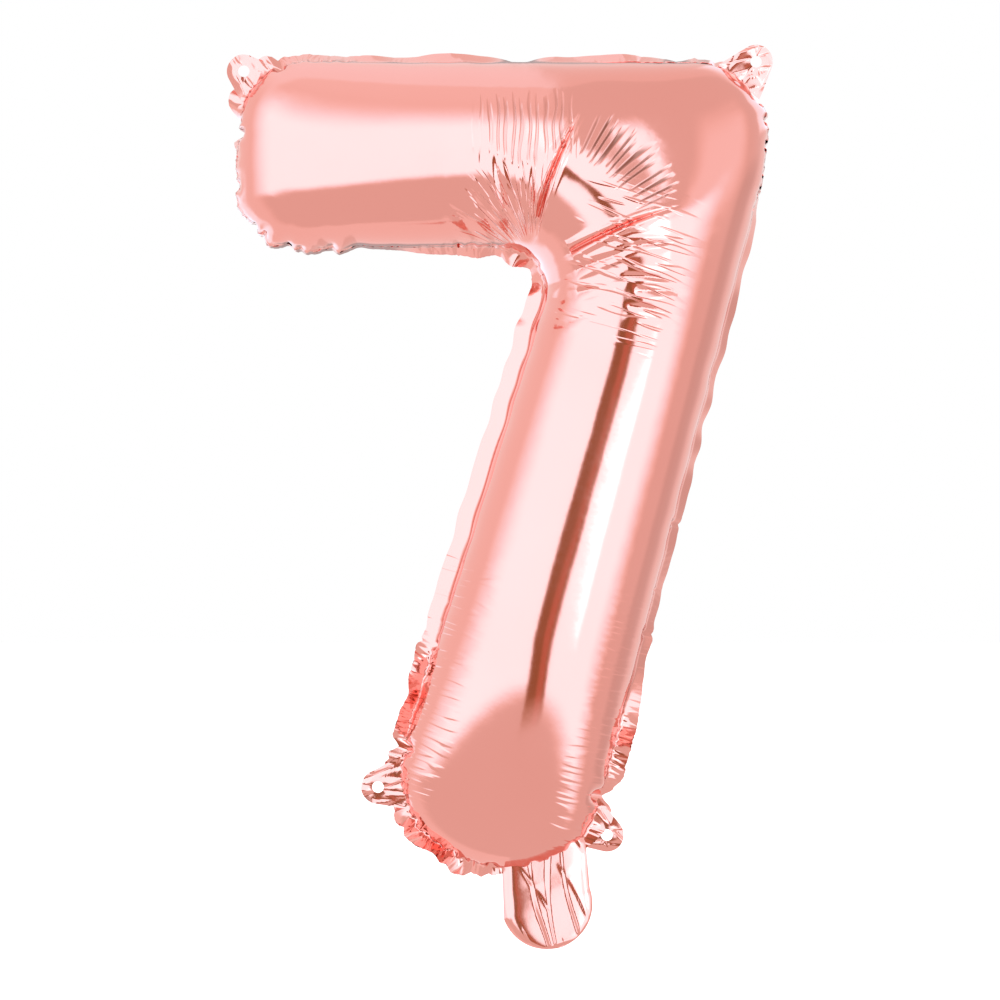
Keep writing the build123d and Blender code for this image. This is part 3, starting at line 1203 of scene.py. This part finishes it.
class Value:
    """A number in a shader: arithmetic on it adds Math nodes."""

    def __init__(self, tree: "Shader", socket: object) -> None:
        """Wraps a socket of a shader."""
        self.tree = tree
        self.socket = socket

    def _math(self, operation: str, *terms: object) -> "Value":
        """A Math node of the terms."""
        node = self.tree.node("ShaderNodeMath", {"operation": operation}, dict(enumerate(terms)))
        return Value(self.tree, node.outputs[0])

    def __add__(self, other: object) -> "Value":
        """self + other."""
        return self._math("ADD", self, other)

    __radd__ = __add__

    def __sub__(self, other: object) -> "Value":
        """self - other."""
        return self._math("SUBTRACT", self, other)

    def __rsub__(self, other: object) -> "Value":
        """other - self."""
        return self._math("SUBTRACT", other, self)

    def __mul__(self, other: object) -> "Value":
        """self * other."""
        return self._math("MULTIPLY", self, other)

    __rmul__ = __mul__

    def __pow__(self, other: object) -> "Value":
        """self to a power."""
        return self._math("POWER", self, other)

    def sine(self) -> "Value":
        """Sine of the angle in radians."""
        return self._math("SINE", self)

    def size(self) -> "Value":
        """Absolute value."""
        return self._math("ABSOLUTE", self)

    def turn_from(self, other: "Value") -> "Value":
        """Angle of (self, other) in radians."""
        return self._math("ARCTAN2", self, other)

    def root(self) -> "Value":
        """Square root."""
        return self._math("SQRT", self)

    def fade(self) -> "Value":
        """exp(-x * x), a soft window round zero."""
        return self._math("EXPONENT", self._math("MULTIPLY", self, self) * -1.0)

    def rising(self, low: float, high: float) -> "Value":
        """A smooth step.

        Args:
            low: where it is 0.
            high: where it is 1, which may be the smaller number.

        Returns:
            0 to 1.
        """
        settings = {"interpolation_type": "SMOOTHSTEP"}
        ends = {"From Min": min(low, high), "From Max": max(low, high), "To Min": float(low > high),
                "To Max": float(high > low), "Value": self}
        return Value(self.tree, self.tree.node("ShaderNodeMapRange", settings, ends).outputs[0])

    def band(self, start: float, full: float, still: float, end: float) -> "Value":
        """1 from full to still, and 0 before start and past end."""
        return self.rising(start, full) * self.rising(end, still)


class Shader:
    """The node tree of one material or world."""

    def __init__(self, tree: bpy.types.NodeTree) -> None:
        """Empties the tree."""
        self.tree = tree
        tree.nodes.clear()

    def node(self, kind: str, settings: dict | None = None, sockets: dict | None = None) -> bpy.types.Node:
        """Adds one node.

        Args:
            kind: the node's type.
            settings: its settings, set first.
            sockets: values or links for its input sockets, by name or number.

        Returns:
            The node.
        """
        node = self.tree.nodes.new(kind)
        for key, value in (settings or {}).items():
            setattr(node, key, value)
        for key, value in (sockets or {}).items():
            self.feed(node.inputs[key], value)
        return node

    def feed(self, socket: bpy.types.NodeSocket, value: object) -> None:
        """Gives an input socket a value or a link.

        Args:
            socket: the input.
            value: a number, a colour, a Value or an output socket.
        """
        if isinstance(value, Value):
            self.tree.links.new(value.socket, socket)
        elif isinstance(value, bpy.types.NodeSocket):
            self.tree.links.new(value, socket)
        else:
            socket.default_value = value

    def vector(self, kind: str) -> bpy.types.NodeSocket:
        """Texture coordinates: Object for places on a piece, Generated for directions in a world."""
        return self.node("ShaderNodeTexCoord").outputs[kind]

    def parts(self, vector: bpy.types.NodeSocket) -> tuple[Value, Value, Value]:
        """The x, y and z of a vector."""
        x, y, z = self.node("ShaderNodeSeparateXYZ", {}, {0: vector}).outputs
        return Value(self, x), Value(self, y), Value(self, z)

    def noise(self, vector: bpy.types.NodeSocket, scale: float, detail: float = 2.0) -> Value:
        """Smooth noise about 0.5.

        Args:
            vector: where it is looked up.
            scale: waves per metre.
            detail: how many finer layers.

        Returns:
            The noise.
        """
        node = self.node("ShaderNodeTexNoise", {}, {"Vector": vector, "Scale": scale, "Detail": detail})
        return Value(self, node.outputs[0])

    def pair(self, a: Value, b: Value) -> bpy.types.NodeSocket:
        """A vector of two numbers."""
        return self.node("ShaderNodeCombineXYZ", {}, {0: a, 1: b}).outputs[0]

    def attribute(self, name: str) -> Value:
        """A number stored on the mesh."""
        return Value(self, self.node("ShaderNodeAttribute", {"attribute_name": name}).outputs["Fac"])

    def blend(self, share: object, low: object, high: object) -> bpy.types.NodeSocket:
        """Mixes two colours.

        Args:
            share: share of the second colour.
            low: the first colour, or a link to it.
            high: the second colour, or a link to it.

        Returns:
            The mixed colour.
        """
        node = self.node("ShaderNodeMix", {"data_type": "RGBA"}, {"Factor": share})
        for key, value in (("A", low), ("B", high)):
            self.feed(next(s for s in node.inputs if s.name == key and s.type == "RGBA"), value)
        return next(s for s in node.outputs if s.type == "RGBA")


class Finish:
    """A finish that can be put on pieces."""

    title: str = "finish"

    def varying(self, shader: Shader) -> dict[str, object]:
        """What varies over the surface, by socket name: nothing, for a plain finish."""
        return {}

    def constants(self) -> dict[str, object]:
        """Values that are the same all over the surface, by socket name."""
        return {}

    def material(self) -> bpy.types.Material:
        """Makes the material.

        Returns:
            The new material.
        """
        made = bpy.data.materials.new(self.title)
        made.use_nodes = True
        shader = Shader(made.node_tree)
        surface = shader.node("ShaderNodeBsdfPrincipled", {}, self.constants())
        for name, value in self.varying(shader).items():
            shader.feed(surface.inputs[name], value)
        shader.node("ShaderNodeOutputMaterial", {}, {"Surface": surface.outputs[0]})
        return made


@dataclass(frozen=True)
class RoseFoil(Finish):
    """Mirror-bright metallised film with a rose gold lacquer. Lengths in millimetres."""

    title: str = "rose_foil"
    light: Colour = (0.91, 0.375, 0.315, 1)
    deep: Colour = (0.89, 0.345, 0.285, 1)
    # folded is painted shade: a dark brown laid into the grooves at the inner corner and on the bar.
    folded: Colour = (0.24, 0.07, 0.04, 1)
    roughness: float = 0.10
    corner: Place = INNER_FOLD_MEET
    ripple: float = 0.34
    gather: float = 0.16
    form: bool = True

    def constants(self) -> dict[str, object]:
        """Metal all over, with a thin lacquer."""
        return {"Metallic": 1.0, "Coat Weight": 0.12, "Coat Roughness": 0.05}

    def fan(self, shader: Shader, r: Value, turn: Value) -> Value:
        """Short grooves side by side on an arc round the inner corner.

        Args:
            shader: the material's tree.
            r: distance from the corner.
            turn: direction from the corner, in radians from straight up.

        Returns:
            How deep the film is in a groove, 0 to 1; it also sets how much painted shade the groove gets.
        """
        uneven = shader.noise(shader.pair(turn * 9.0, r * 12.0), 1.0, 0.0)
        far = r + uneven * 0.014 - 0.007
        window = far.band(0.044, 0.052, 0.061, 0.068) * turn.band(0.38, 0.48, 1.12, 1.24)
        return (turn * 106.0 + uneven * 9.0).sine().rising(-0.1, 0.95) * window

    def corner_streaks(self, shader: Shader, r: Value, turn: Value) -> Value:
        """Long thin gathers that run from the inner corner into the bar.

        Args:
            shader: the material's tree.
            r: distance from the corner.
            turn: direction from the corner, in radians from straight up.

        Returns:
            Their height, 0 to 1.
        """
        streak = shader.noise(shader.pair(turn * 15.0, r * 45.0), 1.0, 1.0).rising(0.48, 0.60)
        long = shader.noise(shader.pair(turn * 5.0, r * 10.0), 1.0, 0.0) * 0.016
        window = r.rising(0.008, 0.016) * (r + long).rising(0.052, 0.036) * turn.band(-1.35, -1.1, 0.2, 0.34)
        return streak * window

    def bar_gathers(self, shader: Shader, x: Value, z: Value) -> Value:
        """Short upright grooves at the middle of the bar beside the corner.

        Args:
            shader: the material's tree.
            x: place across the balloon.
            z: height.

        Returns:
            How deep the film is in a groove, 0 to 1; at half weight it also sets the painted shade there.
        """
        uneven = shader.noise(shader.pair(x * 150.0, z * 60.0), 1.0, 0.0)
        low = z + uneven * 0.016 - 0.008
        window = x.band(-0.014, 0.002, 0.026, 0.034) * low.band(-0.046, -0.038, -0.022, -0.014)
        return (x * 1850.0 + uneven * 7.0).sine().rising(-0.1, 0.95) * window

    def stem_gathers(self, shader: Shader, x: Value, z: Value) -> Value:
        """Lens-shaped wrinkles across the top of the stem, and fine ones along its lower sides.

        Args:
            shader: the material's tree.
            x: place across the balloon.
            z: height.

        Returns:
            Their height, 0 to about 1.
        """
        down = z * STEM_RUN[1] + x * STEM_RUN[0]
        across = x * STEM_RUN[1] - z * STEM_RUN[0]
        lens = shader.noise(shader.pair(across * 45.0, down * 330.0), 1.0, 0.0).rising(0.52, 0.66)
        top = down.band(-0.104, -0.090, -0.050, -0.030) * across.band(0.048, 0.062, 0.092, 0.106)
        line = shader.noise(shader.pair(across * 60.0, down * 420.0), 1.0, 0.0).rising(0.40, 0.62)
        sides = (across - 0.088).size().rising(0.022, 0.030) * down.band(-0.322, -0.300, -0.215, -0.185)
        return lens * top * 1.2 + line * sides * 0.45

    def seam_ripple(self, shader: Shader, broken: Value, vector: bpy.types.NodeSocket) -> Value:
        """Fine ripples square to the seam, where the film is gathered.

        Args:
            shader: the material's tree.
            broken: noise that makes them uneven.
            vector: places on the film.

        Returns:
            Their height, about -1 to 1.
        """
        along, reach = shader.attribute("film_along"), shader.attribute("film_reach")
        patch = shader.noise(vector, 26.0, 0.0).rising(0.40, 0.60)
        edge = (reach * 120.0).fade()
        return (along * 2300.0 + broken * 22.0).sine() * edge * patch * shader.attribute("film_gather")

    def varying(self, shader: Shader) -> dict[str, object]:
        """Tint with painted shade in the grooves, gloss and the ripples too fine for the mesh.

        Args:
            shader: the material's tree.

        Returns:
            Values and links by socket name.
        """
        vector = shader.vector("Object")
        broken = shader.noise(vector, 60.0, 1.0)
        fine = shader.noise(vector, 420.0, 3.0)
        height = broken * 0.10 + fine * 0.012
        tint = shader.blend(shader.noise(vector, 18.0, 2.0), self.light, self.deep)
        if self.form:
            x, _, z = shader.parts(vector)
            dx, dz = x - self.corner[0] * MM, z - self.corner[1] * MM
            r, turn = (dx * dx + dz * dz).root(), dx.turn_from(dz)
            fan, upright = self.fan(shader, r, turn), self.bar_gathers(shader, x, z)
            gathers = self.corner_streaks(shader, r, turn) + self.stem_gathers(shader, x, z)
            height = height + self.seam_ripple(shader, broken, vector) * self.gather
            height = height + (gathers - fan - upright) * self.ripple
            # Painted shade: the grooves of the fan and the bar are darkened towards the dark brown colour.
            tint = shader.blend((fan + upright * 0.5) ** 2 * 0.85, tint, self.folded)
        bump = shader.node("ShaderNodeBump", {}, {"Height": height, "Distance": MM, "Strength": 1.0})
        roughness = fine * 0.05 + self.roughness - 0.025
        return {"Base Color": tint, "Roughness": roughness, "Normal": bump.outputs[0]}


@dataclass(frozen=True)
class SoftFilm(Finish):
    """Thin polymer film or sealing layer inside the balloon."""

    title: str = "soft_film"
    colour: Colour = (0.9, 0.9, 0.88, 1)
    shade: Colour = (0.8, 0.8, 0.78, 1)
    roughness: float = 0.3
    grain: float = 900.0

    def constants(self) -> dict[str, object]:
        """A plain polymer."""
        return {"Metallic": 0.0, "IOR": 1.5}

    def varying(self, shader: Shader) -> dict[str, object]:
        """A cloudy tint, uneven gloss and a fine grain.

        Args:
            shader: the material's tree.

        Returns:
            Values and links by socket name.
        """
        vector = shader.vector("Object")
        cloud, grain = shader.noise(vector, 70.0, 3.0), shader.noise(vector, self.grain, 2.0)
        bump = shader.node("ShaderNodeBump", {}, {"Height": grain, "Distance": 0.05 * MM, "Strength": 0.6})
        tint = shader.blend(cloud, self.colour, self.shade)
        roughness = grain * 0.15 + self.roughness - 0.07
        return {"Base Color": tint, "Roughness": roughness, "Normal": bump.outputs[0]}


@dataclass(frozen=True)
class PaleFloor(Finish):
    """The plain floor of the studio."""

    title: str = "studio_floor"

    def constants(self) -> dict[str, object]:
        """White and matt."""
        return {"Base Color": (0.95, 0.95, 0.95, 1), "Roughness": 0.9, "Specular IOR Level": 0.1}


# ---------------------------------------------------------------- studio


@dataclass
class Studio:
    """White surroundings with soft windows of light and a dark gap between them, a floor and the camera.

    Directions are in radians round the balloon, 0 straight in front of it, and up is the sine of the rise.
    """

    distance: float = 1.6
    view_width: float = 0.4274
    aim: Place = (-0.0012, -0.0013)
    floor_below: float = 0.10
    plain: float = 0.87
    window: float = 2.2
    window_tint: Colour = (0.70, 1, 1.19, 1)
    dark: float = 0.34
    gap_edge: Colour = (1, 0.58, 0.30, 1)
    gap_core: Colour = (1, 0.45, 0.30, 1)
    floor_half: float = 6.0

    def camera(self) -> None:
        """Puts the camera square in front of the object with a long lens."""
        low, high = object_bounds()
        x, z = ((low[k] + high[k]) / 2 + self.aim[k // 2] for k in (0, 2))
        data = bpy.data.cameras.new("camera")
        data.lens = data.sensor_width * self.distance / self.view_width
        data.clip_start, data.clip_end = 0.05, 60
        camera = bpy.data.objects.new("camera", data)
        camera.location = (x, -self.distance, z)
        camera.rotation_euler = (math.pi / 2, 0, 0)
        bpy.context.scene.collection.objects.link(camera)
        bpy.context.scene.camera = camera

    def windows(self, turn: Value, up: Value, over_gap: Value) -> Value:
        """The bright windows: left, above the gap, right, and two weaker ones behind.

        Args:
            turn: direction round the balloon.
            up: rise of the direction.
            over_gap: how far the direction is above the gap's sloping top.

        Returns:
            0 outside the windows and 1 inside.
        """
        low_left = (up + 0.37 + (turn + 0.3) * 0.12).rising(-0.07, 0.07)
        left = turn.band(-1.75, -1.05, -0.20, -0.14) * low_left * up.rising(0.88, 0.52)
        above = turn.rising(-0.22, -0.16) * (turn + up * 0.45).rising(0.62, 0.54) * over_gap.rising(0.0, 0.05)
        above = above * up.rising(0.80, 0.60)
        low_right = (up + 0.51 + (turn - 0.3) * 0.22).rising(-0.08, 0.08)
        right = turn.band(0.18, 0.24, 0.98, 1.45) * low_right * up.rising(0.22, 0.02)
        behind_right = turn.band(2.1, 2.25, 2.92, 3.0) * up.band(0.12, 0.2, 0.6, 0.85)
        behind_left = turn.band(-2.98, -2.90, -2.15, -1.95) * up.band(-0.70, -0.5, -0.03, 0.06)
        return left + above + right + (behind_left + behind_right) * 0.45

    def glow(self, turn: Value, up: Value, bright: Value) -> Value:
        """Strength of the light from a direction, apart from the gap.

        Args:
            turn: direction round the balloon.
            up: rise of the direction.
            bright: the windows.

        Returns:
            The strength.
        """
        soft = turn.band(0.60, 0.85, 1.4, 1.8) * up.band(-0.2, 0.05, 0.35, 0.75) * (1.0 - bright)
        edge = turn.band(1.70, 1.90, 2.1, 2.4) * up.band(-0.6, -0.35, -0.05, 0.1)
        rim = turn.rising(2.2, 2.5) * up.rising(-0.5, -0.3) * 0.5 + turn.rising(-1.2, -1.6)
        crown = up.rising(0.55, 0.98) * turn.rising(0.1, -0.3)
        light = self.plain + bright * (self.window - self.plain) + soft * 0.32 - edge * 0.14
        return light + rim * 0.18 + crown * 0.24

    def surroundings(self) -> None:
        """What the film reflects, by direction: plain light, brighter windows and the gap between them."""
        world = bpy.data.worlds.new("studio")
        bpy.context.scene.world = world
        world.use_nodes = True
        shader = Shader(world.node_tree)
        x, y, up = shader.parts(shader.vector("Generated"))
        turn = x.turn_from(y * -1.0)
        over_gap = up - 0.17 + (turn + 0.2) * 0.46
        light = self.glow(turn, up, self.windows(turn, up, over_gap))
        bright = (light - self.plain).rising(0.0, 0.8)
        gap = turn.band(-0.18, -0.13, 0.15, 0.21) * up.rising(-0.60, -0.42) * over_gap.rising(0.03, -0.02)
        core = turn.band(-0.01, 0.05, 0.11, 0.17) * up.rising(0.04, -0.02)
        shade = turn.size().rising(2.96, 3.03) * up.band(-0.55, -0.35, 0.35, 0.55)
        light = light * (1.0 - gap) + gap * (core * 0.22 + self.dark)
        light = light * (1.0 - shade * 0.5)
        rays = shader.node("ShaderNodeLightPath").outputs
        plain = Value(shader, rays["Is Camera Ray"]) + Value(shader, rays["Is Diffuse Ray"]) * 1.25
        direct = plain.rising(0.0, 0.5)
        white: Colour = (1, 1, 1, 1)
        gap_tint = shader.blend(core, self.gap_edge, self.gap_core)
        tint = shader.blend(gap, shader.blend(bright, white, self.window_tint), gap_tint)
        tint = shader.blend(direct, tint, white)
        total = light * (1.0 - direct) + plain
        back = shader.node("ShaderNodeBackground", {}, {"Color": tint, "Strength": total})
        shader.node("ShaderNodeOutputWorld", {}, {"Surface": back.outputs[0]})

    def floor(self) -> None:
        """A wide pale floor under the hanging balloon."""
        low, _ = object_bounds()
        z = low[2] - self.floor_below
        mesh = bpy.data.meshes.new("studio_floor")
        half = self.floor_half
        corners = [(-half, -half, z), (half, -half, z), (half, half, z), (-half, half, z)]
        mesh.from_pydata(corners, [], [(0, 1, 2, 3)])
        mesh.materials.append(PaleFloor().material())
        floor = bpy.data.objects.new("studio_floor", mesh)
        bpy.context.scene.collection.objects.link(floor)
        floor.visible_glossy = False
        floor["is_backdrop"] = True

    def overhead(self) -> None:
        """One large soft light over the floor."""
        data = bpy.data.lights.new("overhead", "AREA")
        data.shape, data.size, data.size_y, data.energy = "RECTANGLE", 3.0, 3.0, 42
        lamp = bpy.data.objects.new("overhead", data)
        lamp.location = (0, 0.8, 2.2)
        lamp.visible_camera = lamp.visible_glossy = False
        bpy.context.scene.collection.objects.link(lamp)


def put_on(piece: bpy.types.Object, material: bpy.types.Material) -> None:
    """Gives a piece one material.

    Args:
        piece: the piece.
        material: its new material.
    """
    if piece.material_slots:
        for slot in piece.material_slots:
            slot.material = material
    else:
        piece.data.materials.append(material)


def main() -> None:
    """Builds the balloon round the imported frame, dresses it and lights it."""
    logging.basicConfig(level=logging.INFO, format="%(message)s")
    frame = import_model()
    record = frame["record"]
    studio = Studio()
    studio.camera()

    body_foil = RoseFoil().material()
    flap_foil = RoseFoil(title="rose_foil_flaps", form=False, roughness=0.13).material()
    seal = SoftFilm("heat_seal", (0.86, 0.58, 0.53, 1), (0.80, 0.50, 0.45, 1), 0.3).material()
    clear = SoftFilm("valve_film", (0.90, 0.90, 0.88, 1), (0.82, 0.82, 0.80, 1), 0.28).material()
    coating = SoftFilm("release_coating", (0.80, 0.82, 0.84, 1), (0.70, 0.73, 0.76, 1), 0.6).material()

    pieces = Envelope().build()
    roles = {"front_foil": ("front_panel", body_foil, "rose_foil"),
             "back_foil": ("back_panel", body_foil, "rose_foil"),
             "edge_seal": ("perimeter_weld", seal, "heat_seal")}
    for name, (node, finish, slot) in roles.items():
        piece = pieces[name]
        put_on(piece, finish)
        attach(piece, "envelope")
        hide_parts(node)
        log.info("%s: %d faces", name, len(piece.data.polygons))

    for seed, name in enumerate(("top_left", "top_right", "bottom_right", "bottom_left")):
        for piece in HangingTab(name, 40 + seed).build(record):
            sealed = piece.name.endswith("weld")
            put_on(piece, seal if sealed else flap_foil)
        log.info("tab %s", name)

    for piece in FillingNeck().build(record):
        put_on(piece, flap_foil)
        log.info("%s", piece.name)

    inner = {"valve_release_coating": coating, "neck_side_welds": seal, "valve_side_welds": clear}
    for name, node in frame["nodes"].items():
        if name.startswith("valve") or name == "neck_side_welds":
            put_on(node, inner.get(name, clear))
            log.info("%s: kept as packed", name)

    studio.surroundings()
    studio.floor()
    studio.overhead()
    bpy.context.scene.view_settings.view_transform = "Standard"


if __name__ == "__main__":
    main()
